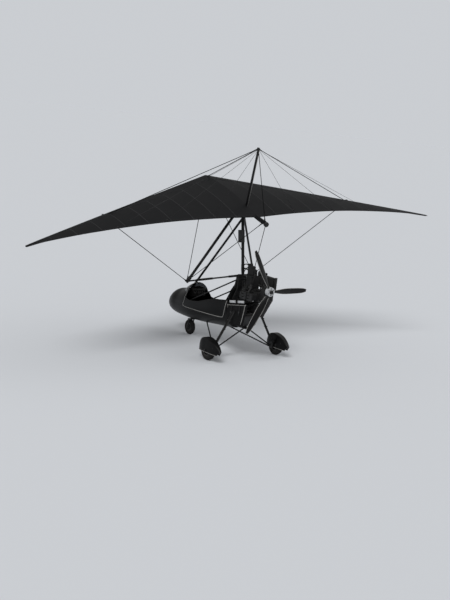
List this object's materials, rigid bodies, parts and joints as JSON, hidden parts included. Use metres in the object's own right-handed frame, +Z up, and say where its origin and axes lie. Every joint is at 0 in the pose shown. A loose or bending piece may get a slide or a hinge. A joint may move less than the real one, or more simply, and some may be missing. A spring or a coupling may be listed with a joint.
{
  "type": "weight_shift_ultralight",
  "caption": "Two-seat weight-shift ultralight with a streamlined pod, a tricycle undercarriage, a pusher propeller and a king-posted flexible wing",
  "frame": {"origin": "bottom centre of the whole aircraft's box, on the ground between the wheels' contact points", "axes": "+X forward, from the propeller to the pod's nose; +Y to the pilot's left, along the wing; +Z up"},
  "size_m": [3.0136, 8.7688, 3.8208],
  "materials": {
    "frame_tube": "powder coated, near black",
    "fittings": "satin black with worn edges",
    "pod_shell": "gloss black gelcoat",
    "spat_shell": "gloss black gelcoat",
    "screen": "dark tinted, clear",
    "moulded_plastic": "fine grained black",
    "tank_plastic": "satin black, slightly translucent at the seam",
    "seat_cover": "woven black cover over foam",
    "bag_cloth": "coated black cloth with pale piping",
    "engine_alloy": "black coated casting",
    "exhaust_steel": "dark, heat stained",
    "wheel_alloy": "dark grey cast, painted",
    "tyre_rubber": "matt black",
    "blade_composite": "satin black with pale leading edge",
    "hub_plate": "pale grey plate round a dark centre",
    "wing_tube": "black anodised",
    "sailcloth": "black woven polyester, taut",
    "wire_steel": "stranded, dull"
  },
  "bodies": {
    "trike": {"trike_keel": "frame_tube", "mast": "frame_tube", "mast_sleeve": "fittings", "front_strut": "frame_tube", "pod": "pod_shell", "windscreen": "screen", "dash": "moulded_plastic", "front_seat": "seat_cover", "rear_seat": "seat_cover", "side_rails": "frame_tube", "seat_frame": "frame_tube", "fuel_tank": "tank_plastic", "left_bag": "bag_cloth", "engine_mount": "frame_tube", "engine": "engine_alloy", "gearbox": "engine_alloy", "air_box": "moulded_plastic", "radiator": "engine_alloy", "exhaust": "exhaust_steel", "left_leg": "frame_tube", "right_leg": "frame_tube", "left_struts": "frame_tube", "right_struts": "frame_tube", "left_axle": "fittings", "right_axle": "fittings", "left_spat": "spat_shell", "right_spat": "spat_shell"},
    "front_fork": {"front_fork": "fittings"},
    "nose_wheel": {"nose_rim": "wheel_alloy", "nose_tyre": "tyre_rubber"},
    "left_wheel": {"left_rim": "wheel_alloy", "left_tyre": "tyre_rubber"},
    "right_wheel": {"right_rim": "wheel_alloy", "right_tyre": "tyre_rubber"},
    "propeller": {"propeller_hub": "hub_plate", "propeller_blades": "blade_composite", "propeller_cap": "fittings"},
    "hang_block": {"hang_block": "fittings"},
    "wing": {"wing_keel": "wing_tube", "left_sail": "sailcloth", "right_sail": "sailcloth", "keel_pocket": "sailcloth", "king_post": "wing_tube", "left_upright": "wing_tube", "right_upright": "wing_tube", "base_bar": "wing_tube", "left_wires": "wire_steel", "right_wires": "wire_steel", "upper_wires": "wire_steel"}
  },
  "joints": [
    {"name": "wing_pitch", "type": "hinge", "parent": "trike", "child": "hang_block", "pos_m": [-0.41752, 0.01966, 2.60495], "axis": [0, 1, 0], "range_deg": [-9, 8]},
    {"name": "wing_roll", "type": "hinge", "parent": "hang_block", "child": "wing", "pos_m": [-0.43182, 0.01966, 2.71495], "axis": [0.9558, 0, 0.294], "range_deg": [-10, 20]},
    {"name": "steering", "type": "hinge", "parent": "trike", "child": "front_fork", "pos_m": [0.85918, 0.01966, 0.14995], "axis": [-0.2079, 0, 0.9781], "range_deg": [-25, 25]},
    {"name": "nose_wheel_spin", "type": "hinge", "parent": "front_fork", "child": "nose_wheel", "pos_m": [0.85918, 0.01966, 0.14995], "axis": [0, 1, 0], "continuous": true},
    {"name": "left_wheel_spin", "type": "hinge", "parent": "trike", "child": "left_wheel", "pos_m": [-0.87082, 0.80466, 0.17995], "axis": [0, 1, 0], "continuous": true},
    {"name": "right_wheel_spin", "type": "hinge", "parent": "trike", "child": "right_wheel", "pos_m": [-0.87082, -0.76534, 0.17995], "axis": [0, 1, 0], "continuous": true},
    {"name": "propeller_spin", "type": "hinge", "parent": "trike", "child": "propeller", "pos_m": [-1.44482, 0.01966, 1.35095], "axis": [1, 0, 0], "continuous": true}
  ]
}
